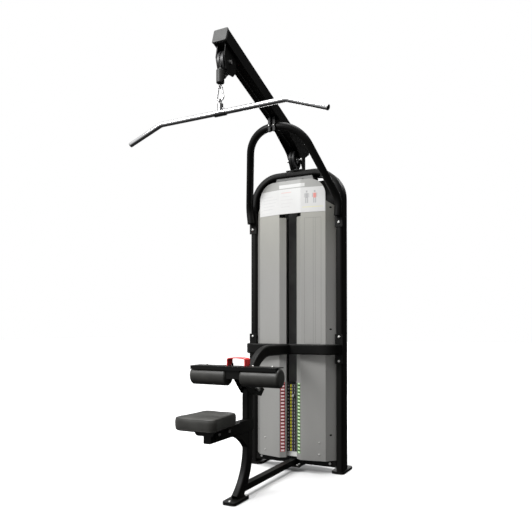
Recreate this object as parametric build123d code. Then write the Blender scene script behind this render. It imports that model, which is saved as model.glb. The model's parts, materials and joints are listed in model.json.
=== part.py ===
"""Lat pulldown machine: weight-stack tower, overhead boom and cable, thigh hold-down and seat.

Millimetres, +Z up, +Y from the seat towards the tower, +X to the right of a person who faces the tower.
Heights are taken from the floor. Depths are laid out from the front faces of the tower posts, and
every finished piece is then shifted by TOWER_Y, so that the origin is the middle of the footprint.
"""
from build123d import *
import math
import os

os.makedirs("parts", exist_ok=True)

# ---------------------------------------------------------------- driving dimensions
TOWER_Y = 482.0            # front faces of the posts, measured from the middle of the footprint

# tower: one bent flat-oval tube
POST_X = 301.0             # centreline of each post
POST_W = 44.0              # across the machine
POST_D = 108.0             # front to back
POST_R = 16.0
POST_WALL = 3.0
POST_Y = POST_D / 2
ARCH_Z = 1903.0            # centreline of the top of the arch
ARCH_R = 177.0             # centreline radius of its two corners

# feet
PAD_T = 6.0                # rubber under each foot
FOOT_T = 10.0              # steel foot plate
FOOT_TOP = PAD_T + FOOT_T
SIDE_FOOT = ((248.0, 330.0), (-2.0, 186.0))
FRONT_FOOT = ((-40.0, 40.0), (-830.0, -665.0))
FOOT_CORNER = 20.0

# base
CROSS_Y = (6.0, 46.0)
CROSS_Z = (38.0, 76.0)
STRUT_W = 40.0
STRUT_Z = (38.0, 72.0)
FLANGE_X = 62.0
FLANGE_Y = (-70.0, 40.0)
FLANGE_T = 8.0

# seat column: a goose neck from the waist bar down to the front foot
COL_W = 38.0
COL_D = 64.0
COL_R = 9.0
NECK_Z = 774.0             # centreline height of the waist bar and of the neck
NECK_R = 250.0
COL_Y = -623.0             # centreline of the upright stretch
HEEL_R = 322.0             # bend towards the front foot
HEEL_Z = 265.0
HEEL_TURN = 50.1           # degrees from upright at the foot plate

# waist bar
WAIST_Y = -100.0
WAIST_D = 38.0
WAIST_H = 64.0
WAIST_R = 70.0
PLATE_T = 4.0
WAIST_PLATE_Z = (684.0, 868.0)

# hoop that braces the boom
HOOP_TUBE_R = 23.5
HOOP_FOOT = (304.0, -27.5, 1600.0)
HOOP_KNEE = (313.0, -31.0, 1695.0)
HOOP_TOP = (155.0, -302.0, 2112.0)
HOOP_KNEE_R = 120.0
HOOP_CROWN_R = 195.0
HOOP_PLATE_Z = (1535.0, 1690.0)

# boom
BOOM_W = 76.0
BOOM_H = 72.0
BOOM_WALL = 4.0
BOOM_FALL = 0.3115         # drop of the centreline per unit of depth
BOOM_END = (-908.0, 2379.5)
BOOM_REAR = 157.0
SADDLE_TOP = 1933.0
CAP_T = 12.0

# cable and pulleys
CABLE_R = 2.5
DROP_Y = -907.5            # depth of the hanging end
STACK_Y = 58.0             # depth of the guide rods, selector rod and lifting end
FRONT_SHEAVE = (-855.5, 2261.0)
REAR_SHEAVE = (6.0, 1993.0)
RUN_R = 52.0               # cable centreline radius on both pulleys
GROOVE = 6.0               # flange height above the cable centreline
SHEAVE_W = 36.0
AXLE_R = 6.0
BEARING_R = 16.0

# weight stack
PLATES = 20
LIFTED = 4                 # plates hanging on the selector pin, top plate included
PITCH = 21.5
PLATE_GAP = 0.5
STACK_Z = 116.0
BASE_TOP = 84.0             # top of the plate under the stack
PLATE_SIZE = (260.0, 146.0)
ROD_X = 100.0
ROD_R = 9.5
ROD_TOP = 1876.0
SELECTOR_R = 11.0
PIN_R = 4.8

# shrouds
SHEET = 2.0
SHROUD_Z = (80.0, 1843.0)
REAR_TOP = 1878.0
REAR_CORNER = 153.0        # where the rear panel lies inside the arch
SHROUD_CORNER = 105.0
FRONT_LINE = ((279.0, 22.0), (229.0, -40.0), (74.0, -70.0), (37.0, -47.0), (37.0, -34.0))
SLOT_TOP = 1612.0
HEADER_Z = 1633.0
PLACARD_GAP = 0.1
EAR_Z = (1700.0, 1660.0)   # slanted tops of the side returns, front and rear
REAR_LINE = ((279.0, 86.0), (250.0, 120.0), (130.0, 150.0), (-130.0, 150.0), (-250.0, 120.0), (-279.0, 86.0))

# thigh pads
ROLL_X = (40.0, 266.0)
ROLL_R = 53.0
ROLL_C = (-750.0, 652.0)
RAIL_X = 256.0
RAIL_Y = (-797.0, -705.0)
RAIL_Z = (703.0, 707.0)
RAIL_LIP = 3.0
PIVOT = (-549.0, 569.0)
PIVOT_R = 8.0
ARM_IN = 20.5
ARM_T = 5.0
LOCK_R = 150.0             # outer radius of the braking sector
LOCK_ANGLE = 30.0
SHOE_R = 8.0
TILT = (-15.0, 15.0)

# release handle
HANDLE_X = 55.0
HANDLE_Y = (-752.0, -696.0)
HANDLE_TOP = 752.0
STRAP = 4.0
HINGE = (-702.5, 714.5)    # hinge line of the handle, behind the rail's middle
HINGE_R = 2.5

# seat
SEAT_Z = (428.0, 492.0)
SEAT_Y = (-1150.0, -888.0)
SEAT_FRONT_W = 222.0
SEAT_REAR_W = 172.0
SEAT_CORNER = 34.0
ARM_W = 42.0
ARM_Z = (350.0, 414.0)
ARM_END = -1024.0

# carabiner: two bows joined by a straight back, with a pinned gate on the open side
SNAP_LOW = (2067.0, 18.0)  # centre height and centreline radius of the lower bow
SNAP_TOP = (2110.0, 11.0)
WIRE_R = 4.0
GATE_R = 3.4
GATE_GAP = 0.4             # air between the gate and each end of the wire
GATE_PIN_R = 1.0

# lat bar
BAR_R = 13.5
BAR_Z = 1989.5
BAR_BEND_X = 369.0
BAR_END = (575.5, 1912.8)

nodes = {}


# ---------------------------------------------------------------- helpers
def block(x, y, z):
    """A box between two limits on each axis."""
    size = (x[1] - x[0], y[1] - y[0], z[1] - z[0])
    middle = ((x[0] + x[1]) / 2, (y[0] + y[1]) / 2, (z[0] + z[1]) / 2)
    return Pos(*middle) * Box(*size)


def rod(start, end, radius):
    """A round bar between two points."""
    run = Vector(*end) - Vector(*start)
    plane = Plane(origin=start, z_dir=run)
    return plane * Cylinder(radius, run.length, align=(Align.CENTER, Align.CENTER, Align.MIN))


def side_shape(outline, x):
    """A plate parallel to the YZ plane, between two X limits."""
    face = make_face(Polyline(*outline, close=True))
    return extrude(Plane.YZ.offset(x[0]) * face, amount=x[1] - x[0])


def upright(face, y):
    """A plate parallel to the XZ plane, between two Y limits."""
    plane = Plane(origin=(0, y[1], 0), x_dir=(1, 0, 0), z_dir=(0, -1, 0))
    return extrude(plane * face, amount=y[1] - y[0])


def sheet_outline(points, thickness):
    """A closed outline that thickens an open line to its left, with mitred corners."""
    runs = [(Vector(*b) - Vector(*a)).normalized() for a, b in zip(points, points[1:])]
    normals = [Vector(-run.Y, run.X) for run in runs]
    pairs = zip([normals[0]] + normals, normals + [normals[-1]])
    other = []
    for (x, y), (before, after) in zip(points, pairs):
        step = (before + after) * (thickness / (1 + before.dot(after)))
        other.append((x + step.X, y + step.Y))
    return list(points) + other[::-1]


def prism(outline, z):
    """A plan outline raised between two heights."""
    face = make_face(Polyline(*outline, close=True))
    return extrude(Plane.XY.offset(z[0]) * face, amount=z[1] - z[0])


def swept(path, section, x_dir):
    """A section carried along a path."""
    start = Plane(origin=path @ 0, x_dir=x_dir, z_dir=path % 0)
    return sweep(sections=start * section, path=path)


def mirrored(shape):
    """The piece and its twin on the other side of the machine."""
    return shape + mirror(shape, about=Plane.YZ)


def boom_z(y):
    """Height of the boom's centreline at a depth."""
    return BOOM_END[1] - BOOM_FALL * (y - BOOM_END[0])


# ---------------------------------------------------------------- tower and base
def tower_frame():
    path = FilletPolyline((-POST_X, POST_Y, FOOT_TOP), (-POST_X, POST_Y, ARCH_Z),
                          (POST_X, POST_Y, ARCH_Z), (POST_X, POST_Y, FOOT_TOP), radius=ARCH_R)
    outer = swept(path, RectangleRounded(POST_W, POST_D, POST_R), (1, 0, 0))
    bore = RectangleRounded(POST_W - 2 * POST_WALL, POST_D - 2 * POST_WALL, POST_R - POST_WALL)
    tube = outer - swept(path, bore, (1, 0, 0))
    return tube - rod((0, STACK_Y, ARCH_Z - POST_W), (0, STACK_Y, ARCH_Z + POST_W), 10.0)


def foot_plate(limits, z):
    x, y = limits
    face = RectangleRounded(x[1] - x[0], y[1] - y[0], FOOT_CORNER)
    place = Pos((x[0] + x[1]) / 2, (y[0] + y[1]) / 2, z[0])
    return place * extrude(face, amount=z[1] - z[0])


def box_tube(x, y, z, wall, along):
    """A rectangular tube between limits, open at both ends along one axis."""
    inner = []
    for name, limit in zip("xyz", (x, y, z)):
        grow = 1.0 if name == along else -wall
        inner.append((limit[0] - grow, limit[1] + grow))
    return block(x, y, z) - block(*inner)


def base_strut():
    """The tube from the crossmember to the heel of the column, cut to the column's outline."""
    strut = box_tube((-STRUT_W / 2, STRUT_W / 2), (-740.0, CROSS_Y[0]), STRUT_Z, 3.0, "y")
    pieces = strut - column_outer() - block((-60, 60), (-900, -690), (0, 120))
    return pieces.solids().sort_by(Axis.Y)[-1]


def column_path():
    corner_z = HEEL_Z - HEEL_R * math.tan(math.radians(HEEL_TURN / 2))
    turn = math.radians(HEEL_TURN)
    run = HEEL_R * math.tan(turn / 2) + 14.0
    end = (0, COL_Y - run * math.sin(turn), corner_z - run * math.cos(turn))
    return FilletPolyline((0, WAIST_Y - WAIST_D / 2, NECK_Z), (0, COL_Y, NECK_Z),
                          (0, COL_Y, corner_z), end, radius=[NECK_R, HEEL_R])


def column_outer():
    return swept(column_path(), RectangleRounded(COL_W, COL_D, COL_R), (1, 0, 0))


def seat_column():
    wall = 3.0
    bore = RectangleRounded(COL_W - 2 * wall, COL_D - 2 * wall, COL_R - wall)
    tube = column_outer() - swept(column_path(), bore, (1, 0, 0))
    return tube - block((-60, 60), (-900, -600), (-60, FOOT_TOP))


def waist_bar():
    path = FilletPolyline((-POST_X, -PLATE_T, NECK_Z), (-POST_X, WAIST_Y, NECK_Z),
                          (POST_X, WAIST_Y, NECK_Z), (POST_X, -PLATE_T, NECK_Z), radius=WAIST_R)
    outer = swept(path, RectangleRounded(WAIST_H, WAIST_D, 8.0), (0, 0, 1))
    inner = swept(path, RectangleRounded(WAIST_H - 6.0, WAIST_D - 6.0, 5.0), (0, 0, 1))
    return outer - inner


def corner_plate(z, wing):
    """An L of plate on the front face and the outer side of a post."""
    front = block((POST_X - 24.0, POST_X + 26.0), (-PLATE_T, 0), z)
    side = block((POST_X + POST_W / 2, POST_X + 26.0), (0, wing), z)
    return front + side


# ---------------------------------------------------------------- boom and its brace
def hoop_path():
    foot, knee, top = HOOP_FOOT, HOOP_KNEE, HOOP_TOP
    right = [foot, knee, top]
    left = [(-x, y, z) for x, y, z in right]
    return FilletPolyline(*left, *right[::-1],
                          radius=[HOOP_KNEE_R, HOOP_CROWN_R, HOOP_CROWN_R, HOOP_KNEE_R])


def hoop_outer():
    return swept(hoop_path(), Circle(HOOP_TUBE_R), (1, 0, 0))


def hoop_tube():
    return hoop_outer() - swept(hoop_path(), Circle(HOOP_TUBE_R - 3), (1, 0, 0))


def boom_solid(half_w, half_h, front, rear):
    """A bar along the boom's centreline, square-cut at the front and upright at the rear."""
    slope = math.atan(BOOM_FALL)
    length = (rear - front) / math.cos(slope) + 60.0
    bar = Plane(origin=(0, front, boom_z(front)), x_dir=(1, 0, 0),
                z_dir=(0, math.cos(slope), -math.sin(slope))) * extrude(
        Rectangle(2 * half_w, 2 * half_h), amount=length)
    return bar - block((-80, 80), (rear, rear + 200), (1800, 2400))


def boom_beam():
    outer = boom_solid(BOOM_W / 2, BOOM_H / 2, BOOM_END[0] + CAP_T / 2, BOOM_REAR)
    inner = boom_solid(BOOM_W / 2 - BOOM_WALL, BOOM_H / 2 - BOOM_WALL, BOOM_END[0] - 20, BOOM_REAR + 1)
    heel = side_shape(((BOOM_REAR + 1, boom_z(BOOM_REAR) + 17), (BOOM_REAR + 1, 1960), (72, 1960),
                       (72, boom_z(72) - 42), (97, boom_z(97) - 37)), (-60, 60))
    return outer - inner - heel


def boom_cap():
    """A moulded cap with a rim that covers the boom's open front end."""
    slope = math.atan(BOOM_FALL)
    front = BOOM_END[0] - CAP_T / 2
    plane = Plane(origin=(0, front, boom_z(front)), x_dir=(1, 0, 0),
                  z_dir=(0, math.cos(slope), -math.sin(slope)))
    shell = plane * extrude(RectangleRounded(BOOM_W + 7, BOOM_H + 5, 7.0), amount=CAP_T + 1)
    shell = fillet(shell.faces().sort_by(Axis.Y)[0].edges(), radius=3.0)
    pocket = boom_solid(BOOM_W / 2 + 0.1, BOOM_H / 2 + 0.1, BOOM_END[0] + CAP_T / 2, BOOM_REAR)
    return shell - pocket


def boom_cheeks():
    """The two plates that carry the boom on the arch and the rear pulley between them."""
    outline = ((-203, boom_z(-203) - 36), (-57, 2048), (-22, 2025), (36, 1942), (36, SADDLE_TOP),
               (78, SADDLE_TOP), (78, 2020), (72, 2036), (72, boom_z(72) + 10), (-150, boom_z(-150) + 10))
    plate = side_shape(outline, (BOOM_W / 2, BOOM_W / 2 + 6))
    return mirrored(plate - rod((0, *REAR_SHEAVE), (60, *REAR_SHEAVE), AXLE_R))


def boom_saddle():
    """The plate on top of the arch that the cheeks stand on."""
    low = ARCH_Z + POST_W / 2
    plate = block((-62, 62), (8, 100), (low, SADDLE_TOP))
    return plate - rod((0, STACK_Y, low - 1), (0, STACK_Y, SADDLE_TOP + 1), 10.0)


def hoop_hanger():
    """Two straps beside the cable that tie the hoop's crown to the boom."""
    y, z = HOOP_TOP[1] - HOOP_TUBE_R, HOOP_TOP[2]
    strap = block((8, 23), (y - 7.5, y + 9), (z - 34, z + 80)) - boom_solid(BOOM_W / 2, BOOM_H / 2, -600, 0)
    return mirrored(strap - hoop_outer())


# ---------------------------------------------------------------- pulleys and cable
def sheave(centre):
    """A grooved pulley on a bearing along X."""
    y, z = centre
    run_r, bore_r = RUN_R, BEARING_R
    body = rod((-SHEAVE_W / 2, y, z), (SHEAVE_W / 2, y, z), run_r + GROOVE)
    groove = Plane(origin=(0, y, z), x_dir=(0, 1, 0), z_dir=(1, 0, 0)) * Torus(run_r + 1.5, CABLE_R + 1.7)
    rim = rod((-3.6, y, z), (3.6, y, z), run_r + GROOVE + 1) - rod((-4, y, z), (4, y, z), run_r + 1.5)
    dish = rod((11, y, z), (20, y, z), run_r - 12) - rod((10, y, z), (21, y, z), bore_r + 7)
    body = body - groove - rim - mirrored(dish)
    return body - rod((-30, y, z), (30, y, z), bore_r)


def ring_bearing(centre, width):
    y, z = centre
    outer = rod((-width / 2, y, z), (width / 2, y, z), BEARING_R)
    return outer - rod((-30, y, z), (30, y, z), AXLE_R + 0.05)


def axle_bolt(centre, half, head_r):
    """A shoulder bolt with a low head on one side, a nut on the other and a spacer beside each bearing."""
    y, z = centre
    shank = rod((-half, y, z), (half, y, z), AXLE_R)
    spacer = rod((SHEAVE_W / 2 + 0.4, y, z), (half - 6, y, z), AXLE_R + 3)
    shank = shank + mirrored(spacer)
    head = rod((half, y, z), (half + 7, y, z), head_r)
    nut = Plane(origin=(-half, y, z), z_dir=(-1, 0, 0)) * extrude(RegularPolygon(head_r, 6), amount=9)
    return shank + head + nut


def front_fork():
    """Two plates that hold the front pulley under the boom."""
    outline = ((-900, boom_z(-900) - 20), (-900, 2325), (-911, 2275), (-893, 2215), (-862, 2195),
               (-825, 2198), (-800, 2225), (-790, boom_z(-790) - 37), (-790, boom_z(-790) - 20))
    plate = side_shape(outline, (SHEAVE_W / 2 + 3, SHEAVE_W / 2 + 9))
    plate = plate - boom_solid(BOOM_W / 2, BOOM_H / 2, -1000, 0)
    return mirrored(plate - rod((0, *FRONT_SHEAVE), (60, *FRONT_SHEAVE), AXLE_R))


def tangent_run():
    """The two points where the straight stretch under the boom leaves the pulleys."""
    fy, fz = FRONT_SHEAVE
    ry, rz = REAR_SHEAVE
    angle = math.atan2(rz - fz, ry - fy) + math.pi / 2
    front = (fy + RUN_R * math.cos(angle), fz + RUN_R * math.sin(angle))
    rear = (ry + RUN_R * math.cos(angle), rz + RUN_R * math.sin(angle))
    return front, rear, angle


def boom_cable():
    """The cable from the front drop over both pulleys to the stack side, at its true radii."""
    front, rear, angle = tangent_run()
    fy, fz = FRONT_SHEAVE
    ry, rz = REAR_SHEAVE
    mid_f = (math.pi + angle) / 2
    mid_r = angle / 2
    first = ThreePointArc((0, fy - RUN_R, fz),
                          (0, fy + RUN_R * math.cos(mid_f), fz + RUN_R * math.sin(mid_f)),
                          (0, *front))
    straight = Line((0, *front), (0, *rear))
    last = ThreePointArc((0, *rear),
                         (0, ry + RUN_R * math.cos(mid_r), rz + RUN_R * math.sin(mid_r)),
                         (0, ry + RUN_R, rz))
    path = Wire([first.edge(), straight.edge(), last.edge()])
    return swept(path, Circle(CABLE_R), (1, 0, 0))


# ---------------------------------------------------------------- weight stack
def plate_z(index):
    """Underside of a plate, counted from the top plate."""
    return STACK_Z + (PLATES - 1 - index) * PITCH


def weight_plate(index):
    thick = PITCH - PLATE_GAP
    base = plate_z(index)
    body = Pos(0, STACK_Y, base) * extrude(RectangleRounded(*PLATE_SIZE, 10.0), amount=thick)
    body = chamfer(body.edges().group_by(Axis.Z)[-1], length=1.2)
    for x in (-ROD_X, ROD_X):
        body = body - rod((x, STACK_Y, base - 1), (x, STACK_Y, base + PITCH), ROD_R + 1.0)
    body = body - rod((0, STACK_Y, base - 1), (0, STACK_Y, base + PITCH), SELECTOR_R + 1.0)
    front = STACK_Y - PLATE_SIZE[1] / 2
    mid = base + thick / 2
    return body - rod((0, front - 1, mid), (0, STACK_Y, mid), PIN_R + 0.3)


def stack_buffers():
    """A rubber ring round the foot of each guide rod."""
    ring = rod((ROD_X, STACK_Y, BASE_TOP), (ROD_X, STACK_Y, STACK_Z - PLATE_GAP), 28)
    return mirrored(ring - rod((ROD_X, STACK_Y, 80), (ROD_X, STACK_Y, 130), ROD_R))


def selector_rod():
    thick = PITCH - PLATE_GAP
    shaft = rod((0, STACK_Y, STACK_Z + 6), (0, STACK_Y, plate_z(0) + thick), SELECTOR_R)
    for index in range(PLATES):
        mid = plate_z(index) + thick / 2
        shaft = shaft - rod((0, STACK_Y - 20, mid), (0, STACK_Y + 20, mid), PIN_R + 0.3)
    top = plate_z(0) + thick
    nut = Plane.XY.offset(top) * extrude(RegularPolygon(19.0, 6), amount=14)
    collar = rod((0, STACK_Y, top + 14), (0, STACK_Y, top + 34), 9.0)
    socket = rod((0, STACK_Y, top + 34), (0, STACK_Y, SOCKET_TOP), 6.5)
    return shaft + Pos(0, STACK_Y, 0) * nut + collar + socket


def selector_pin():
    thick = PITCH - PLATE_GAP
    mid = plate_z(LIFTED - 1) + thick / 2
    front = STACK_Y - PLATE_SIZE[1] / 2
    shank = rod((0, front, mid), (0, STACK_Y + 9, mid), PIN_R)
    knob = rod((0, front - 16, mid), (0, front - 0.4, mid), 8.5)
    knob = fillet(knob.edges(), radius=2.5)
    return shank + knob + rod((0, front - 1, mid), (0, front + 1, mid), PIN_R)


# ---------------------------------------------------------------- shrouds and placard
def shroud_profile(width, corner, z):
    """The front outline of the shroud: an upright panel with two round top corners."""
    left, right, low, top = -width, width, z[0], z[1]
    line = FilletPolyline((left, low), (left, top), (right, top), (right, low), radius=corner)
    return make_face([line, Line((right, low), (left, low))])


def front_panel(side):
    line = [(side * x, y) for x, y in FRONT_LINE]
    outline = sheet_outline(line, -SHEET if side > 0 else SHEET)
    panel = prism(outline, SHROUD_Z)
    mask = upright(shroud_profile(FRONT_LINE[1][0] + 0.5, SHROUD_CORNER, SHROUD_Z), (-100, -38))
    lower = block((-300, 300), (-38, 60), (SHROUD_Z[0], EAR_Z[0]))
    panel = panel & (mask + lower)
    panel = panel - block((-74.5, 74.5), (-90, 40), (SLOT_TOP, SHROUD_Z[1] + 1))
    ear = side_shape(((-38, EAR_Z[0]), (40, EAR_Z[1]), (40, 1900), (-38, 1900)), (-300, 300))
    return panel - ear


def shroud_header():
    """The sheet above the slot that joins the two front panels."""
    y = FRONT_LINE[2][1]
    return block((-74.5, 74.5), (y, y + SHEET), (HEADER_Z, SHROUD_Z[1]))


def placard():
    """A thin sign plate that follows the front panels."""
    z = (HEADER_Z, SHROUD_Z[1])
    (x1, y1), (x0, y0) = FRONT_LINE[1:3]
    line = [(x1, y1), (x0, y0), (-x0, y0), (-x1, y1)]
    sign = prism(sheet_outline(line, 1.0), z) & upright(shroud_profile(x1, SHROUD_CORNER, z), (-100, 20))
    return Pos(0, -PLACARD_GAP, 0) * sign


def rear_panel():
    height = (SHROUD_Z[0], REAR_TOP)
    panel = prism(sheet_outline(REAR_LINE, SHEET), height)
    width = REAR_LINE[0][0]
    within = upright(shroud_profile(width, REAR_CORNER, height), (60, POST_D + 2))
    behind = upright(shroud_profile(width, SHROUD_CORNER, height), (POST_D + 2, 160))
    return panel & (within + behind)


def rod_top_bracket():
    """An angle under the arch that locates the guide rods, with a drilled front flange."""
    under = ARCH_Z - POST_W / 2
    flange = upright(make_face(Polyline((-138, SHROUD_Z[1]), (138, SHROUD_Z[1]), (124, under - 1),
                                        (-124, under - 1), close=True)), (-3, 0))
    bracket = block((-124, 124), (0, POST_D - 4), (ROD_TOP - 7, under)) + flange
    for x in (-60, 60):
        bracket = bracket - rod((x, -5, 1862), (x, 1, 1862), 4.5)
    for x in (-ROD_X, ROD_X):
        bracket = bracket - rod((x, STACK_Y, ROD_TOP - 8), (x, STACK_Y, ROD_TOP), ROD_R)
    return bracket - rod((0, STACK_Y, ROD_TOP - 8), (0, STACK_Y, under + 1), 14.0)


def label_strip(side, low, high):
    """A printed strip on the slanted face beside the slot."""
    a, b = Vector(*FRONT_LINE[2]), Vector(*FRONT_LINE[3])
    near, far = a + (b - a) * 0.12, a + (b - a) * 0.86
    line = [(side * near.X, near.Y), (side * far.X, far.Y)]
    return prism(sheet_outline(line, 0.6 * side), (low, high))


def rear_stiffener():
    """A folded strip behind the weights, set against the rear shroud."""
    y = REAR_LINE[2][1] - SHEET
    return block((-104, -44), (y - 10, y), (120, 1820)) - block((-102, -46), (y - 8, y + 1), (110, 1830))


# ---------------------------------------------------------------- thigh pads
def thigh_roll(side):
    x = sorted((side * ROLL_X[0], side * ROLL_X[1]))
    y, z = ROLL_C
    roll = rod((x[0], y, z), (x[1], y, z), ROLL_R)
    roll = fillet(roll.edges().filter_by(GeomType.CIRCLE), radius=9.0)
    return roll - block((-RAIL_X, RAIL_X), (y - 70, y + 70), (RAIL_Z[0], RAIL_Z[0] + 30))


def pad_rail():
    """A shallow channel over both rolls."""
    top = block((-RAIL_X, RAIL_X), RAIL_Y, RAIL_Z)
    front = block((-RAIL_X, RAIL_X), (RAIL_Y[0], RAIL_Y[0] + RAIL_LIP), (RAIL_Z[0] - 16, RAIL_Z[1]))
    return top + front


def polar(radius, degrees):
    """A point about the thigh pads' pivot, from straight ahead upwards."""
    angle = math.radians(degrees)
    return (PIVOT[0] - radius * math.cos(angle), PIVOT[1] + radius * math.sin(angle))


def pad_hub():
    """The block between the rolls: it ties the rail to the arms and guides the brake plunger."""
    hub = block((-40, 40), (-786, -709), (642, RAIL_Z[0])) - rod((-50, *PIVOT), (50, *PIVOT), LOCK_R + 27)
    rebate = block((ARM_IN, 41), (-737, -700), (600, RAIL_Z[0] + 1))
    hub = hub - mirrored(rebate)
    return hub - rod((0, *polar(LOCK_R, LOCK_ANGLE)), (0, *polar(LOCK_R + 80, LOCK_ANGLE)), SHOE_R + 0.06)


def pad_arms():
    """The plates that run from the hub past both sides of the column to the pivot."""
    outline = ((-737, 703), (-737, 644), (-652, 556), (-510, 526), (-471, 561), (-560, 604), (-650, 703))
    plate = side_shape(outline, (ARM_IN, ARM_IN + ARM_T))
    return mirrored(plate - rod((0, *PIVOT), (60, *PIVOT), PIVOT_R))


def pivot_lug():
    """The block behind the column that carries the thigh pads' pivot."""
    y, z = PIVOT
    lug = block((-17, 17), (y - 51, y), (z - 20, z + 20)) + rod((-17, y, z), (17, y, z), 20)
    return lug - column_outer() - rod((-20, y, z), (20, y, z), PIVOT_R + 0.05)


def quadrant():
    """The sector on the column whose rim the brake plunger presses on."""
    low, high = LOCK_ANGLE + TILT[0] - 9, LOCK_ANGLE + TILT[1] + 9
    rim = [polar(LOCK_R, low), polar(LOCK_R, (low + high) / 2), polar(LOCK_R, high)]
    edge = ThreePointArc(*rim)
    sides = Polyline(rim[2], polar(84, high), polar(84, low), rim[0])
    plate = extrude(Plane.YZ.offset(-5) * make_face([edge, sides]), amount=10)
    return plate - column_outer()


def brake_plunger():
    return rod((0, *polar(LOCK_R + 0.6, LOCK_ANGLE)), (0, *polar(LOCK_R + 64, LOCK_ANGLE)), SHOE_R)


def release_handle():
    """A bent strap over the middle of the rail."""
    low = RAIL_Z[1] + 1.0
    shell = FilletPolyline((-HANDLE_X, low), (-HANDLE_X, HANDLE_TOP - 3), (0, HANDLE_TOP),
                           (HANDLE_X, HANDLE_TOP - 3), (HANDLE_X, low), radius=[12, 300, 12])
    inner = HANDLE_X - STRAP
    hollow = FilletPolyline((-inner, low), (-inner, HANDLE_TOP - 3 - STRAP), (0, HANDLE_TOP - STRAP),
                            (inner, HANDLE_TOP - 3 - STRAP), (inner, low), radius=[8, 300, 8])
    feet = [Line((-HANDLE_X, low), (-inner, low)), Line((inner, low), (HANDLE_X, low))]
    strap = upright(make_face([shell, hollow] + feet), HANDLE_Y)
    y, z = HINGE
    ears = rod((-HANDLE_X, y, z), (HANDLE_X, y, z), 6.0) - block((-inner, inner), (y - 9, y + 9), (z - 9, z + 9))
    return strap + ears - rod((-80, y, z), (80, y, z), HINGE_R + 0.05)


def handle_ears():
    """Two lugs on the rail that carry the handle's hinge pins."""
    y, z = HINGE
    x = (HANDLE_X - STRAP - 5.5, HANDLE_X - STRAP - 0.5)
    lug = block(x, (y - 6, y + 6), (RAIL_Z[1], z)) + rod((x[0], y, z), (x[1], y, z), 6.0)
    pin = rod((x[0], y, z), (HANDLE_X + 2, y, z), HINGE_R)
    return mirrored(lug + pin)


# ---------------------------------------------------------------- seat
def seat_outline(shrink):
    y = (SEAT_Y[0] + shrink, SEAT_Y[1] - shrink)
    front, rear = SEAT_FRONT_W / 2 - shrink, SEAT_REAR_W / 2 - shrink
    face = make_face(Polyline((-front, y[0]), (front, y[0]), (rear, y[1]), (-rear, y[1]), close=True))
    return fillet(face.vertices(), radius=SEAT_CORNER - shrink / 2)


def seat_cushion():
    body = extrude(Plane.XY.offset(SEAT_Z[0] + 8) * seat_outline(0), amount=SEAT_Z[1] - SEAT_Z[0] - 8)
    return fillet(body.edges().group_by(Axis.Z)[-1], radius=12.0)


def seat_base():
    return extrude(Plane.XY.offset(SEAT_Z[0]) * seat_outline(8), amount=8)


def seat_arm():
    """The cantilever from the column, with a curved web under its root."""
    body = block((-ARM_W / 2, ARM_W / 2), (ARM_END, COL_Y + COL_D / 2), ARM_Z)
    body = fillet(body.edges().filter_by(Axis.Y), radius=5.0)
    start = (-826.0, ARM_Z[0] + 0.5)
    end = (-650.0, 262.0)
    arc = ThreePointArc(start, (-716, 318), end)
    web = make_face([arc, Line(end, (-650, ARM_Z[0] + 0.5)), Line((-650, ARM_Z[0] + 0.5), start)])
    return body + extrude(Plane.YZ.offset(-ARM_W / 2 + 3) * web, amount=ARM_W - 6) - column_outer()


def seat_brackets():
    """Angles on both sides of the arm and a tapered stay under the front of the seat."""
    side = ARM_W / 2
    flange = block((side, side + 5), (-984, -836), (366, SEAT_Z[0] - 6))
    top = block((-78, 78), (-1090, -836), (SEAT_Z[0] - 6, SEAT_Z[0]))
    stay = upright(make_face(Polyline((-66, SEAT_Z[0] - 6), (66, SEAT_Z[0] - 6), (44, 392), (-44, 392),
                                      close=True)), (ARM_END - 26, ARM_END - 20))
    lug = block((-18, 18), (ARM_END - 20, ARM_END), (394, SEAT_Z[0] - 6))
    packer = block((-side, side), (-984, -836), (ARM_Z[1], SEAT_Z[0] - 6))
    return mirrored(flange) + top + stay + lug + packer


# ---------------------------------------------------------------- hanging hardware
def snap_path():
    """The carabiner's wire, with its gate side left out, and the wire's two ends."""
    (low_z, low_r), (top_z, top_r) = SNAP_LOW, SNAP_TOP
    lean = math.asin((low_r - top_r) / (top_z - low_z))
    lx, lz = low_r * math.cos(lean), low_z + low_r * math.sin(lean)
    tx, tz = top_r * math.cos(lean), top_z + top_r * math.sin(lean)
    foot = ThreePointArc((lx, DROP_Y, lz), (0, DROP_Y, low_z - low_r), (-lx, DROP_Y, lz))
    back = Line((-lx, DROP_Y, lz), (-tx, DROP_Y, tz))
    crown = ThreePointArc((-tx, DROP_Y, tz), (0, DROP_Y, top_z + top_r), (tx, DROP_Y, tz))
    return Wire([foot.edge(), back.edge(), crown.edge()]), Vector(lx, DROP_Y, lz), Vector(tx, DROP_Y, tz)


def gate_line():
    """The gate's hinge point, its tip and the direction from one to the other."""
    _, low, top = snap_path()
    run = (top - low).normalized()
    return low + run * (GATE_R + GATE_GAP), top - run * GATE_GAP, run


def cross_pin(at, half, radius):
    """A pin that runs along Y through a point."""
    return rod((at.X, at.Y - half, at.Z), (at.X, at.Y + half, at.Z), radius)


def carabiner():
    """The wire, with two cheeks and a pin at its lower end that carry the gate."""
    path, _, _ = snap_path()
    hinge, _, run = gate_line()
    body = swept(path, Circle(WIRE_R), (0, 1, 0)) + cross_pin(hinge, GATE_R + 1.8, GATE_PIN_R)
    for side in (-1, 1):
        plane = Plane(origin=hinge + Vector(0, side * (GATE_R + 0.1), 0), x_dir=run, z_dir=(0, side, 0))
        body = body + extrude(plane * Pos(-3.5, 0) * SlotCenterToCenter(7.0, 6.0), amount=1.4)
    return body


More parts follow.
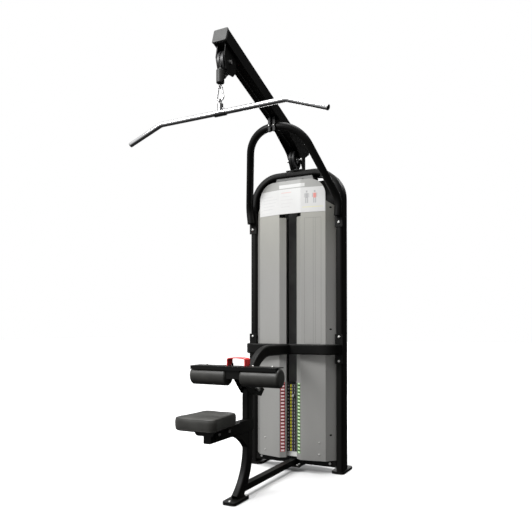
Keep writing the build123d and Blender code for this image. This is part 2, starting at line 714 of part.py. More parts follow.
def carabiner_gate():
    hinge, tip, _ = gate_line()
    knuckle = cross_pin(hinge, GATE_R, GATE_R + GATE_GAP / 2)
    body = knuckle + rod((hinge.X, hinge.Y, hinge.Z), (tip.X, tip.Y, tip.Z), GATE_R)
    return body - cross_pin(hinge, GATE_R + 1, GATE_PIN_R + 0.05)


def eye(z, major, minor):
    return Plane(origin=(0, DROP_Y, z), z_dir=(1, 0, 0)) * Torus(major, minor)


def cable_eye():
    return eye(2123.5, 10.0, 3.0) + rod((0, DROP_Y, 2134.5), (0, DROP_Y, 2138.0), 6.0)


def cable_stop():
    """The rubber buffer above the carabiner, with a narrow neck for the cable."""
    body = rod((0, DROP_Y, 2138), (0, DROP_Y, 2206), 20.5)
    body = fillet(body.edges().filter_by(GeomType.CIRCLE), radius=4.0)
    neck = Pos(0, DROP_Y, 2205) * Cone(12.0, 6.0, 13.0, align=(Align.CENTER, Align.CENTER, Align.MIN))
    return body + neck


def swivel_eye():
    stem = rod((0, DROP_Y, 2029.8), (0, DROP_Y, 2036), 5.0)
    head = rod((0, DROP_Y, 2022), (0, DROP_Y, 2029.8), 9.0)
    return eye(2046.5, 10.0, 3.0) + stem + head


def bar_collar():
    collar = rod((0, DROP_Y, BAR_Z), (0, DROP_Y, 2033.0), 14.5)
    collar = collar - rod((0, DROP_Y, 2012), (0, DROP_Y, 2030.1), 9.6)
    collar = collar - rod((0, DROP_Y, 2029), (0, DROP_Y, 2040), 5.06)
    collar = collar + rod((13, DROP_Y, 2009), (22, DROP_Y, 2009), 4.0)
    return collar - rod((-40, DROP_Y, BAR_Z), (40, DROP_Y, BAR_Z), BAR_R)


def bar_saddle():
    sleeve = rod((-32, DROP_Y, BAR_Z), (32, DROP_Y, BAR_Z), BAR_R + 4.5)
    sleeve = sleeve - rod((-40, DROP_Y, BAR_Z), (40, DROP_Y, BAR_Z), BAR_R)
    return sleeve - block((-40, 40), (DROP_Y - 30, DROP_Y + 30), (BAR_Z - 2, BAR_Z + 30))


def lat_bar():
    x, z = BAR_END
    path = FilletPolyline((-x, DROP_Y, z), (-BAR_BEND_X, DROP_Y, BAR_Z), (BAR_BEND_X, DROP_Y, BAR_Z),
                          (x, DROP_Y, z), radius=70)
    return swept(path, Circle(BAR_R), (0, 1, 0))


def bar_caps():
    x, z = BAR_END
    run = Vector(x - BAR_BEND_X, 0, z - BAR_Z).normalized()
    cap = rod((x, DROP_Y, z), (x + 4 * run.X, DROP_Y, z + 4 * run.Z), BAR_R)
    return mirrored(fillet(cap.edges().filter_by(GeomType.CIRCLE).sort_by(Axis.X)[-1], radius=3.0))


# ---------------------------------------------------------------- fasteners
def bolt_head(at, direction, radius, height):
    """A button head with a hexagon socket, standing on a face."""
    plane = Plane(origin=at, z_dir=direction)
    head = extrude(plane * Circle(radius), amount=height)
    top = head.edges().filter_by(GeomType.CIRCLE).sort_by(lambda e: (e.center() - Vector(*at)).length)[-1]
    head = fillet(top, radius=height * 0.6)
    socket = plane.offset(height * 0.4) * extrude(RegularPolygon(radius * 0.45, 6), amount=height)
    return head - socket


def bolts(places, direction, radius, height):
    return Part() + [bolt_head(at, direction, radius, height) for at in places]


def shroud_rivets():
    """Flat rivets near the foot of each slanted front panel."""
    inner, outer = Vector(*FRONT_LINE[2]), Vector(*FRONT_LINE[1])
    run = outer - inner
    at = inner + run * ((188 - inner.X) / run.X)
    return mirrored(bolts([(at.X, at.Y, z) for z in (119, 195)], (run.Y, -run.X, 0), 5.0, 3.0))


# ---------------------------------------------------------------- assembly
FEET = (SIDE_FOOT, ((-SIDE_FOOT[0][1], -SIDE_FOOT[0][0]), SIDE_FOOT[1]), FRONT_FOOT)
STACK_TOP = plate_z(0) + PITCH - PLATE_GAP
SOCKET_TOP = STACK_TOP + 60.0
FORWARD = (0, -1, 0)
UP = (0, 0, 1)

nodes["tower_frame"] = tower_frame()
nodes["foot_plates"] = Part() + [foot_plate(limits, (PAD_T, FOOT_TOP)) for limits in FEET]
nodes["rubber_foot_pads"] = Part() + [foot_plate(limits, (0, PAD_T)) for limits in FEET]
nodes["base_crossmember"] = box_tube((-POST_X + POST_W / 2, POST_X - POST_W / 2), CROSS_Y, CROSS_Z, 3.0, "x")
nodes["base_strut"] = base_strut() + block((-FLANGE_X, FLANGE_X), FLANGE_Y, (CROSS_Z[0] - FLANGE_T, CROSS_Z[0]))
nodes["seat_column"] = seat_column()
nodes["waist_bar"] = waist_bar()
nodes["waist_bar_plates"] = mirrored(corner_plate(WAIST_PLATE_Z, 64.0))
nodes["hoop_tube"] = hoop_tube()
nodes["hoop_brackets"] = (mirrored(block((POST_X - 24.0, POST_X + 26.0), (-PLATE_T, 0), HOOP_PLATE_Z))
                          + hoop_hanger())
nodes["boom_beam"] = boom_beam()
nodes["boom_end_cap"] = boom_cap()
nodes["boom_mount"] = boom_cheeks() + boom_saddle()

nodes["front_pulley_fork"] = front_fork()
nodes["front_pulley"] = sheave(FRONT_SHEAVE)
nodes["front_pulley_bearing"] = ring_bearing(FRONT_SHEAVE, SHEAVE_W)
nodes["rear_pulley"] = sheave(REAR_SHEAVE)
nodes["rear_pulley_bearing"] = ring_bearing(REAR_SHEAVE, SHEAVE_W)
nodes["pulley_axles"] = (axle_bolt(FRONT_SHEAVE, SHEAVE_W / 2 + 9, 10.0)
                         + axle_bolt(REAR_SHEAVE, BOOM_W / 2 + 6, 10.0))
nodes["cable_over_boom"] = boom_cable()
nodes["cable_front_drop"] = rod((0, DROP_Y, 2218), (0, DROP_Y, FRONT_SHEAVE[1]), CABLE_R)
nodes["cable_stack_drop"] = rod((0, STACK_Y, SOCKET_TOP), (0, STACK_Y, REAR_SHEAVE[1]), CABLE_R)

nodes["guide_rods"] = mirrored(rod((ROD_X, STACK_Y, BASE_TOP), (ROD_X, STACK_Y, ROD_TOP), ROD_R))
nodes["rod_top_bracket"] = rod_top_bracket()
nodes["stack_base_plate"] = block((-140, 140), (-15, 131), (CROSS_Z[1], BASE_TOP))
nodes["stack_buffers"] = stack_buffers()
nodes["stack_riser"] = block((-58, 58), (-13, 22), (BASE_TOP, STACK_Z - PLATE_GAP))
nodes["lifted_weight_plates"] = Part() + [weight_plate(i) for i in range(LIFTED)]
nodes["resting_weight_plates"] = Part() + [weight_plate(i) for i in range(LIFTED, PLATES)]
nodes["selector_rod"] = selector_rod()
nodes["selector_pin"] = selector_pin()

nodes["front_shroud"] = front_panel(-1) + front_panel(1) + shroud_header()
nodes["rear_panel"] = rear_panel()
nodes["placard"] = placard()
nodes["rear_stiffener"] = rear_stiffener()
nodes["label_strips"] = label_strip(-1, 118.0, 560.0) + label_strip(1, 118.0, 560.0)

nodes["thigh_rolls"] = thigh_roll(-1) + thigh_roll(1)
nodes["pad_rail"] = pad_rail() + handle_ears()
nodes["pad_carrier"] = pad_hub() + pad_arms()
nodes["pad_lugs"] = pivot_lug() + quadrant()
nodes["pad_pivot_bolt"] = (rod((-31, *PIVOT), (31, *PIVOT), PIVOT_R)
                           + mirrored(rod((ARM_IN + ARM_T, *PIVOT), (33, *PIVOT), 13.0)))
nodes["brake_plunger"] = brake_plunger()
nodes["release_handle"] = release_handle()

nodes["seat_cushion"] = seat_cushion()
nodes["seat_base"] = seat_base() + seat_brackets()
nodes["seat_arm"] = seat_arm()

nodes["carabiner"] = carabiner()
nodes["carabiner_gate"] = carabiner_gate()
nodes["cable_eye"] = cable_eye()
nodes["cable_stop"] = cable_stop()
nodes["swivel_eye"] = swivel_eye()
nodes["bar_collar"] = bar_collar() + bar_saddle()
nodes["lat_bar"] = lat_bar()
nodes["bar_end_caps"] = bar_caps()

nodes["frame_bolts"] = (
    bolts([(x, -PLATE_T, z) for x in (-303, 303) for z in (700, 851, 1564)], FORWARD, 8.0, 6.0)
    + bolts([(x, CROSS_Y[0], 59) for x in (-239.5, 239.5)], FORWARD, 8.0, 6.0)
    + bolts([(x, HOOP_TOP[1] - HOOP_TUBE_R - 7.5, HOOP_TOP[2]) for x in (-15.5, 15.5)], FORWARD, 5.5, 5.0))
nodes["floor_bolts"] = (
    bolts([(x, y, CROSS_Z[0]) for x in (-42, 42) for y in (-50, -20)], UP, 7.5, 6.0)
    + bolts([(x, y, FOOT_TOP) for x in (-289, 289) for y in (132, 164)], UP, 9.0, 7.0)
    + bolts([(x, -685, FOOT_TOP) for x in (-27, 27)] + [(0, -814, FOOT_TOP)], UP, 7.5, 6.0))
nodes["pad_screws"] = bolts([(x, -720, RAIL_Z[1]) for x in (-199, -84.5, 84.5, 199)], UP, 6.0, 6.0)
nodes["seat_arm_bolts"] = mirrored(bolts([(ARM_W / 2 + 5, y, 387) for y in (-955, -860)], (1, 0, 0), 8.0, 5.0))
nodes["shroud_rivets"] = shroud_rivets()

for name, shape in nodes.items():
    export_step(Pos(0, TOWER_Y, 0) * shape, f"parts/{name}.step")
print(len(nodes), "nodes")
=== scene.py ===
import json
import math

import bmesh
import bpy
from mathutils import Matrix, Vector
from mathutils.bvhtree import BVHTree


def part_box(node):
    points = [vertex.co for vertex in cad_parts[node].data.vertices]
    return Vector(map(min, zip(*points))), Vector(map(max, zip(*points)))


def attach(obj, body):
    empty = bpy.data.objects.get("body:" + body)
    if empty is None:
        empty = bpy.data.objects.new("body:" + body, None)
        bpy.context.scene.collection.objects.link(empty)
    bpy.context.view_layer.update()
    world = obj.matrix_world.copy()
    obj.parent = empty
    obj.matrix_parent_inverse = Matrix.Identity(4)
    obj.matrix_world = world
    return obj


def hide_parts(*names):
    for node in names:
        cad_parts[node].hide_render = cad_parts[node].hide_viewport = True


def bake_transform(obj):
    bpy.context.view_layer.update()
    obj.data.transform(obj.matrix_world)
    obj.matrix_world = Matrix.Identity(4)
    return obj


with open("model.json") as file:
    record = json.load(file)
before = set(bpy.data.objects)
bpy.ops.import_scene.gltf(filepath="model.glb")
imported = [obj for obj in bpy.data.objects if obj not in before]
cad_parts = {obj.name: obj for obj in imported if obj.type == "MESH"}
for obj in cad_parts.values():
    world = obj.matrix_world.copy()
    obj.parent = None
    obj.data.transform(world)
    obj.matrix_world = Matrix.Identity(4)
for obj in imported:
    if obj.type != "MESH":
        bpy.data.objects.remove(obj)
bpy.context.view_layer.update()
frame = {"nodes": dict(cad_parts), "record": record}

NODES = frame["nodes"]
PLATE_PITCH = 0.0215       # from one weight plate to the next
PAD = "pad_upholstery"     # the look and the slot of every soft piece


# ------------------------------------------------------------------ node helpers
def set_range(node, *limits):
    """Fills in a Map Range node: from low, from high, to low, to high."""
    for key, number in zip(("From Min", "From Max", "To Min", "To Max"), limits):
        node.inputs[key].default_value = number


class Look:
    """A material under construction. Coordinates are the row frame's, in metres."""

    def __init__(self, name, colour, rough, metal=0.0, specular=0.5):
        self.material = bpy.data.materials.new(name)
        self.material.use_nodes = True
        self.tree = self.material.node_tree
        self.shader = self.tree.nodes["Principled BSDF"]
        self.shader.inputs["Base Color"].default_value = (*colour, 1)
        self.shader.inputs["Roughness"].default_value = rough
        self.shader.inputs["Metallic"].default_value = metal
        self.shader.inputs["Specular IOR Level"].default_value = specular
        self.material.diffuse_color = (*colour, 1)
        self.place = self.add("ShaderNodeTexCoord").outputs["Object"]
        split = self.add("ShaderNodeSeparateXYZ")
        self.link(self.place, split.inputs[0])
        self.x, self.y, self.z = split.outputs

    def add(self, kind, **settings):
        node = self.tree.nodes.new(kind)
        for key, value in settings.items():
            setattr(node, key, value)
        return node

    def link(self, a, b):
        self.tree.links.new(a, b)

    def put(self, socket, value):
        if isinstance(value, bpy.types.NodeSocket):
            self.link(value, socket)
        else:
            socket.default_value = value

    def math(self, operation, a, b=0.0):
        node = self.add("ShaderNodeMath", operation=operation)
        for socket, value in zip(node.inputs, (a, b)):
            self.put(socket, value)
        return node.outputs[0]

    def band(self, value, low, high):
        """1 between two limits, 0 elsewhere."""
        return self.both(self.math("GREATER_THAN", value, low), self.math("LESS_THAN", value, high))

    def near(self, value, middle, half):
        return self.band(value, middle - half, middle + half)

    def both(self, *masks):
        total = masks[0]
        for mask in masks[1:]:
            total = self.math("MULTIPLY", total, mask)
        return total

    def either(self, *masks):
        total = masks[0]
        for mask in masks[1:]:
            total = self.math("MAXIMUM", total, mask)
        return total

    def noise(self, scale, detail=3.0, stretch=(1, 1, 1), rough=0.5):
        mapping = self.add("ShaderNodeMapping")
        mapping.inputs["Scale"].default_value = stretch
        self.link(self.place, mapping.inputs["Vector"])
        node = self.add("ShaderNodeTexNoise")
        node.inputs["Scale"].default_value = scale
        node.inputs["Detail"].default_value = detail
        node.inputs["Roughness"].default_value = rough
        self.link(mapping.outputs[0], node.inputs["Vector"])
        return node.outputs["Fac"]

    def cells(self, scale):
        node = self.add("ShaderNodeTexVoronoi", feature="SMOOTH_F1")
        node.inputs["Scale"].default_value = scale
        self.link(self.place, node.inputs["Vector"])
        return node.outputs["Distance"]

    def span(self, value, low, high, out_low, out_high):
        node = self.add("ShaderNodeMapRange")
        set_range(node, low, high, out_low, out_high)
        self.link(value, node.inputs["Value"])
        return node.outputs[0]

    def mix(self, factor, a, b):
        node = self.add("ShaderNodeMix", data_type="RGBA")
        self.put(node.inputs[0], factor)
        for socket, value in ((node.inputs[6], a), (node.inputs[7], b)):
            self.put(socket, value if isinstance(value, bpy.types.NodeSocket) else (*value, 1))
        return node.outputs[2]

    def clouded(self, cloud, dark, light):
        """A slow drift between two colours."""
        return self.mix(self.span(cloud, 0.3, 0.7, 0, 1), dark, light)

    def colour(self, value):
        self.link(value, self.shader.inputs["Base Color"])

    def rough(self, value):
        self.link(value, self.shader.inputs["Roughness"])

    def bump(self, height, strength, distance, bevel=0.0):
        node = self.add("ShaderNodeBump")
        node.inputs["Strength"].default_value = strength
        node.inputs["Distance"].default_value = distance
        self.link(height, node.inputs["Height"])
        if bevel:
            edge = self.add("ShaderNodeBevel", samples=4)
            edge.inputs["Radius"].default_value = bevel
            self.link(edge.outputs[0], node.inputs["Normal"])
        self.link(node.outputs[0], self.shader.inputs["Normal"])


# ------------------------------------------------------------------ finishes
def powder_coat():
    look = Look("black_powder_coat", (0.005, 0.005, 0.0047), 0.42, specular=0.16)
    grain = look.noise(1100, 3)
    cloud = look.noise(7, 4)
    look.colour(look.clouded(cloud, (0.0038, 0.0038, 0.0036), (0.0068, 0.0066, 0.006)))
    look.rough(look.span(look.math("ADD", grain, cloud), 0.7, 1.3, 0.36, 0.5))
    look.bump(grain, 0.22, 0.0004, bevel=0.0014)
    return look.material


def shroud_silver():
    look = Look("silver_shroud", (0.5, 0.495, 0.47), 0.42, metal=0.25, specular=0.4)
    fleck = look.noise(2600, 2)
    cloud = look.noise(3.2, 4, (1, 1, 0.35))
    base = look.clouded(cloud, (0.34, 0.337, 0.325), (0.4, 0.396, 0.382))
    # painted light: the panels are painted lighter and warmer towards the top, where the light from above
    # falls on them
    base = look.mix(look.span(look.z, 1.2, 1.65, 0, 0.5), base, (0.42, 0.414, 0.35))
    base = look.mix(look.span(fleck, 0.42, 0.7, 0, 0.22), base, (0.6, 0.6, 0.575))
    # pressed rectangle and ribs on the right-hand panel, their lines painted darker as painted shade in the
    # grooves
    left, right, low, high = 0.098, 0.202, 0.81, 1.598
    half_groove = 0.0011
    tall = look.band(look.z, low, high)
    wide = look.band(look.x, left, right)
    lines = [look.both(look.near(look.x, x, half_groove), tall) for x in (left, 0.153, 0.166, right)]
    lines += [look.both(look.near(look.z, z, half_groove), wide) for z in (low, high)]
    groove = look.either(*lines)
    # fixing holes in the side returns, painted as near-black dots: painted shade in place of the holes
    front_half = look.math("LESS_THAN", look.y, 0.52)
    hole_shade_dots = []
    for z in (0.24, 0.898, 1.66):
        dz = look.math("SUBTRACT", look.z, z)
        dx = look.math("SUBTRACT", look.math("ABSOLUTE", look.x), 0.252)
        square = look.math("ADD", look.math("MULTIPLY", dz, dz), look.math("MULTIPLY", dx, dx))
        hole_shade_dots.append(look.both(look.math("LESS_THAN", look.math("SQRT", square), 0.0055), front_half))
    hole_shade = look.either(*hole_shade_dots)
    # seams beside the header
    beside = look.band(look.math("ABSOLUTE", look.x), 0.2285, 0.2297)
    seam = look.both(beside, look.math("LESS_THAN", look.y, 0.47))
    # painted shade: the groove lines are painted darker
    base = look.mix(look.math("MULTIPLY", groove, 0.55), base, (0.16, 0.16, 0.15))
    base = look.mix(look.math("MULTIPLY", seam, 0.45), base, (0.12, 0.12, 0.11))
    # painted shade: near-black dots stand in for the dark inside of the fixing holes
    base = look.mix(hole_shade, base, (0.004, 0.004, 0.004))
    # painted shade: the inside faces of the sheet are painted near black, as they lie in shade
    split = look.add("ShaderNodeSeparateXYZ")
    look.link(look.add("ShaderNodeNewGeometry").outputs["Normal"], split.inputs[0])
    facing = split.outputs[1]
    rear_half = look.math("GREATER_THAN", look.y, 0.55)
    front_inside = look.both(look.math("GREATER_THAN", facing, 0.05), front_half)
    rear_inside = look.both(look.math("LESS_THAN", facing, -0.05), rear_half)
    # painted shade on the inside faces
    base = look.mix(look.either(front_inside, rear_inside), base, (0.012, 0.012, 0.012))
    look.colour(base)
    look.rough(look.span(cloud, 0.3, 0.7, 0.38, 0.48))
    look.bump(look.math("SUBTRACT", fleck, look.math("MULTIPLY", groove, 2.0)), 0.12, 0.0004, bevel=0.001)
    return look.material


def placard_white():
    """A plain sign: pale panel, grey band, a few generic blocks and lines in place of print."""
    look = Look("placard_white", (0.84, 0.84, 0.83), 0.34, specular=0.5)
    low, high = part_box("placard")
    cloud = look.noise(9, 3)
    base = look.clouded(cloud, (0.73, 0.73, 0.72), (0.77, 0.77, 0.76))
    top = look.math("GREATER_THAN", look.z, high.z - 0.052)
    base = look.mix(top, base, (0.42, 0.42, 0.405))

    def patch(x, z, colour, strength=1.0):
        nonlocal base
        mask = look.both(look.band(look.x, *x), look.band(look.z, *z))
        base = look.mix(look.math("MULTIPLY", mask, strength), base, colour)

    patch((-0.075, 0.1), (high.z - 0.046, high.z - 0.024), (0.86, 0.86, 0.85), 0.8)
    for i in range(5):
        end, drop = -0.125 + 0.012 * (i * 3 % 4), i * 0.02
        patch((-0.2, end), (1.752 - drop, 1.757 - drop), (0.6, 0.6, 0.6), 0.42)
    for i in range(4):
        end, drop = 0.012 * (i * 5 % 3), i * 0.022
        patch((-0.06, end), (1.742 - drop, 1.747 - drop), (0.62, 0.6, 0.6), 0.36)
    patch((-0.06, 0.01), (1.766, 1.771), (0.8, 0.3, 0.25), 0.4)
    patch((0.085, 0.215), (1.664, 1.668), (0.85, 0.8, 0.25), 0.55)
    # two plain figures: legs, trunk, arms and a head
    for x, tone in ((0.113, (0.35, 0.35, 0.36)), (0.163, (0.85, 0.14, 0.1))):
        patch((x - 0.009, x - 0.002), (1.69, 1.722), (0.4, 0.4, 0.41), 0.7)
        patch((x + 0.002, x + 0.009), (1.69, 1.722), (0.4, 0.4, 0.41), 0.7)
        patch((x - 0.009, x + 0.009), (1.722, 1.752), tone, 0.7)
        patch((x - 0.016, x - 0.0105), (1.726, 1.752), (0.42, 0.42, 0.42), 0.6)
        patch((x + 0.0105, x + 0.016), (1.726, 1.752), (0.42, 0.42, 0.42), 0.6)
        patch((x - 0.005, x + 0.005), (1.756, 1.769), (0.4, 0.4, 0.41), 0.7)
    patch((-0.212, -0.13), (1.6505, 1.6515), (0.5, 0.5, 0.5), 0.6)
    patch((-0.212, -0.13), (1.672, 1.673), (0.5, 0.5, 0.5), 0.6)
    edge = look.math("MAXIMUM", look.math("GREATER_THAN", look.math("ABSOLUTE", look.x), 0.2255),
                     look.math("LESS_THAN", look.z, low.z + 0.003))
    base = look.mix(look.math("MULTIPLY", edge, 0.5), base, (0.55, 0.55, 0.54))
    look.colour(base)
    look.rough(look.span(cloud, 0.3, 0.7, 0.3, 0.38))
    look.bump(look.noise(700, 2), 0.05, 0.0002)
    return look.material


def grey_plate(name, tone, rough=0.45):
    look = Look(name, (tone, tone, tone * 0.98), rough)
    grain, cloud = look.noise(1300, 3), look.noise(12, 4)
    look.colour(look.clouded(cloud, (tone * 0.85,) * 3, (tone * 1.12, tone * 1.12, tone * 1.1)))
    look.rough(look.span(cloud, 0.3, 0.7, rough - 0.05, rough + 0.06))
    look.bump(grain, 0.14, 0.0003, bevel=0.0012)
    return look.material


def top_bracket_grey():
    look = Look("top_bracket_grey", (0.25, 0.25, 0.245), 0.45)
    cloud = look.noise(14, 4)
    base = look.clouded(cloud, (0.19, 0.19, 0.185), (0.235, 0.235, 0.23))
    strip = look.both(look.band(look.x, -0.13, 0.012), look.band(look.z, 1.8435, 1.8535))
    base = look.mix(strip, base, (0.6, 0.6, 0.59))
    look.colour(base)
    look.rough(look.span(cloud, 0.3, 0.7, 0.4, 0.52))
    look.bump(look.noise(1300, 3), 0.14, 0.0003, bevel=0.001)
    return look.material


def label_print():
    """Weight labels: framed pale cells at the plates' pitch, green on one side and red on the other."""
    look = Look("weight_labels", (0.8, 0.85, 0.75), 0.4)
    turn = look.math("FRACT", look.math("DIVIDE", look.math("SUBTRACT", look.z, 0.1145), PLATE_PITCH))
    across = look.math("ABSOLUTE", look.x)
    cell = look.both(look.band(turn, 0.26, 0.74), look.band(across, 0.0475, 0.0655))
    border = look.both(look.band(turn, 0.14, 0.86), look.band(across, 0.0445, 0.0685))
    right = look.math("GREATER_THAN", look.x, 0.0)
    cloud = look.noise(260, 2)
    frame_colour = look.mix(right, (0.72, 0.02, 0.04), (0.12, 0.5, 0.04))
    cell_colour = look.mix(right, (0.95, 0.86, 0.86), (0.8, 0.98, 0.7))
    base = look.mix(border, (0.008, 0.008, 0.008), frame_colour)
    base = look.mix(cell, base, cell_colour)
    base = look.mix(look.span(cloud, 0.3, 0.8, 0.0, 0.12), base, (0.5, 0.5, 0.5))
    look.colour(base)
    look.rough(look.span(cloud, 0.3, 0.7, 0.34, 0.46))
    look.bump(cloud, 0.05, 0.0002)
    return look.material


def weight_iron():
    """Painted plates with a yellow dash and two grey marks on each front edge."""
    look = Look("weight_iron", (0.02, 0.02, 0.02), 0.5, specular=0.4)
    low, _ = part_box("resting_weight_plates")
    turn = look.math("FRACT", look.math("DIVIDE", look.math("SUBTRACT", look.z, low.z), PLATE_PITCH))
    face = look.math("LESS_THAN", look.y, low.y + 0.0006)
    cloud, grain = look.noise(24, 5), look.noise(800, 3)
    base = look.clouded(cloud, (0.016, 0.016, 0.016), (0.034, 0.033, 0.032))
    yellow = look.both(face, look.band(look.x, -0.0228, -0.0142), look.band(turn, 0.14, 0.84))
    left = look.both(face, look.band(look.x, -0.0415, -0.0325), look.band(turn, 0.28, 0.72))
    right = look.both(face, look.band(look.x, -0.0085, -0.0052), look.band(turn, 0.2, 0.8))
    far = look.both(face, look.band(look.x, 0.0052, 0.0085), look.band(turn, 0.2, 0.8))
    base = look.mix(yellow, base, (0.72, 0.66, 0.035))
    base = look.mix(left, base, (0.42, 0.4, 0.43))
    base = look.mix(look.math("MAXIMUM", right, far), base, (0.36, 0.35, 0.37))
    look.colour(base)
    look.rough(look.span(cloud, 0.3, 0.7, 0.42, 0.6))
    look.bump(grain, 0.3, 0.0005, bevel=0.0008)
    return look.material


def chrome(name, tone, rough, scratch=(1, 1, 1)):
    look = Look(name, (tone, tone, tone * 1.01), rough, metal=1.0)
    fine, cloud = look.noise(420, 4, scratch), look.noise(10, 4)
    look.colour(look.clouded(cloud, (tone * 0.93,) * 3, (tone, tone, tone * 1.02)))
    look.rough(look.span(look.math("ADD", fine, cloud), 0.7, 1.3, max(rough - 0.05, 0.03), rough + 0.06))
    look.bump(fine, 0.035, 0.0002, bevel=0.0008)
    return look.material


def zinc():
    look = Look("bright_zinc", (0.72, 0.72, 0.7), 0.3, metal=0.9)
    cloud = look.noise(160, 4)
    look.colour(look.mix(look.span(cloud, 0.35, 0.65, 0, 1), (0.6, 0.6, 0.58), (0.82, 0.82, 0.8)))
    look.rough(look.span(cloud, 0.3, 0.7, 0.24, 0.42))
    look.bump(look.noise(900, 3), 0.1, 0.0003, bevel=0.0006)
    return look.material


def moulded(name, colour, rough, grain=900, height=0.12):
    look = Look(name, colour, rough)
    fine, cloud = look.noise(grain, 3), look.noise(20, 4)
    dark, light = tuple(c * 0.8 for c in colour), tuple(min(c * 1.2, 1) for c in colour)
    look.colour(look.clouded(cloud, dark, light))
    look.rough(look.span(look.math("ADD", fine, cloud), 0.7, 1.3, rough - 0.06, rough + 0.08))
    look.bump(fine, height, 0.0004, bevel=0.001)
    return look.material


def vinyl():
    look = Look("black_grained_vinyl", (0.03, 0.029, 0.026), 0.45, specular=0.45)
    pebble = look.cells(720)
    crease, cloud = look.noise(240, 5, rough=0.6), look.noise(16, 4)
    look.colour(look.clouded(cloud, (0.024, 0.0235, 0.021), (0.042, 0.041, 0.037)))
    look.rough(look.span(look.math("ADD", crease, cloud), 0.7, 1.3, 0.36, 0.54))
    height = look.math("ADD", look.math("MULTIPLY", pebble, 0.7), look.math("MULTIPLY", crease, 0.6))
    look.bump(height, 0.32, 0.0007)
    look.shader.inputs["Sheen Weight"].default_value = 0.05
    return look.material


def red_coat():
    look = Look("bright_red_coat", (0.78, 0.012, 0.012), 0.28)
    fine, cloud = look.noise(800, 3), look.noise(30, 3)
    look.colour(look.clouded(cloud, (0.88, 0.05, 0.052), (0.96, 0.085, 0.085)))
    look.rough(look.span(fine, 0.3, 0.7, 0.24, 0.36))
    look.bump(fine, 0.08, 0.0003, bevel=0.0012)
    look.shader.inputs["Coat Weight"].default_value = 0.4
    return look.material


def rope_jacket():
    """A black jacket with the twist of the strands just showing through."""
    look = Look("cable_jacket", (0.02, 0.02, 0.02), 0.4)
    twist = look.add("ShaderNodeTexWave", wave_type="BANDS", bands_direction="DIAGONAL")
    twist.inputs["Scale"].default_value = 95.0
    twist.inputs["Distortion"].default_value = 0.6
    look.link(look.place, twist.inputs["Vector"])
    cloud = look.noise(60, 3)
    look.colour(look.clouded(cloud, (0.014, 0.014, 0.014), (0.035, 0.035, 0.034)))
    look.rough(look.span(cloud, 0.3, 0.7, 0.34, 0.5))
    look.bump(twist.outputs["Fac"], 0.3, 0.0004)
    return look.material


LOOKS = {
    "black_frame_paint": powder_coat(),
    "grey_cap": moulded("grey_moulded_cap", (0.055, 0.055, 0.053), 0.5, height=0.2),
    "shroud_silver": shroud_silver(),
    "placard_white": placard_white(),
    "bracket_grey": grey_plate("dark_grey_strip", 0.3),
    "label_print": label_print(),
    "plate_black": weight_iron(),
    "rod_steel": chrome("guide_rod_chrome", 0.6, 0.16, (1, 1, 0.05)),
    "selector_steel": chrome("turned_steel", 0.48, 0.3, (0.2, 0.2, 1)),
    "pulley_plastic": moulded("black_nylon", (0.022, 0.022, 0.022), 0.42),
    "bearing_steel": chrome("ground_steel", 0.55, 0.24),
    "bolt_zinc": zinc(),
    "cable_black": rope_jacket(),
    "foot_rubber": moulded("foot_rubber", (0.014, 0.014, 0.014), 0.72, 500, 0.35),
    "riser_white": moulded("white_nylon", (0.74, 0.74, 0.72), 0.45),
    "pad_upholstery": vinyl(),
    "handle_red": red_coat(),
    "bar_chrome": chrome("polished_chrome", 0.93, 0.07, (0.05, 1, 1)),
    "link_steel": chrome("plated_links", 0.34, 0.24),
    "stop_rubber": moulded("buffer_rubber", (0.012, 0.012, 0.0105), 0.5, 600, 0.25),
}
SLOT_OF = {part["node"]: part["material_slot"] for part in frame["record"]["subparts"]}
for name, node in NODES.items():
    node.data.materials.clear()
    node.data.materials.append(LOOKS[SLOT_OF[name]])
NODES["rod_top_bracket"].data.materials[0] = top_bracket_grey()
NODES["bar_collar"].data.materials[0] = LOOKS["link_steel"]


# ------------------------------------------------------------------ mesh helpers
def new_piece(name, verts, faces, look, body=None):
    """A smooth mesh piece; its look and its slot share a name."""
    mesh = bpy.data.meshes.new(name)
    mesh.from_pydata([tuple(v) for v in verts], [], faces)
    mesh.update()
    work = bmesh.new()
    work.from_mesh(mesh)
    bmesh.ops.recalc_face_normals(work, faces=work.faces)
    work.to_mesh(mesh)
    work.free()
    for face in mesh.polygons:
        face.use_smooth = True
    piece = bpy.data.objects.new(name, mesh)
    bpy.context.scene.collection.objects.link(piece)
    mesh.materials.append(LOOKS[look])
    if body:
        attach(piece, body)
    return piece


def ring_faces(rings, sides, closed=False):
    """Faces between rings of points that follow each other, with both ends capped unless they close up."""
    faces = []
    for i in range(rings if closed else rings - 1):
        a, b = i * sides, ((i + 1) % rings) * sides
        for k in range(sides):
            n = (k + 1) % sides
            faces.append((a + k, a + n, b + n, b + k))
    if not closed:
        faces.append(tuple(range(sides))[::-1])
        faces.append(tuple((rings - 1) * sides + k for k in range(sides)))
    return faces


def tube(points, radius, sides, closed=False):
    """Vertices and faces of a round tube along points."""
    verts = []
    count = len(points)
    side = None
    for i, point in enumerate(points):
        before = points[i - 1] if i or closed else points[0]
        after = points[(i + 1) % count] if i < count - 1 or closed else points[-1]
        along = (Vector(after) - Vector(before)).normalized()
        if side is None:
            side = along.orthogonal().normalized()
        side = (side - along * side.dot(along)).normalized()
        up = along.cross(side)
        for k in range(sides):
            turn = 2 * math.pi * k / sides
            verts.append(Vector(point) + (side * math.cos(turn) + up * math.sin(turn)) * radius)
    return verts, ring_faces(count, sides, closed)


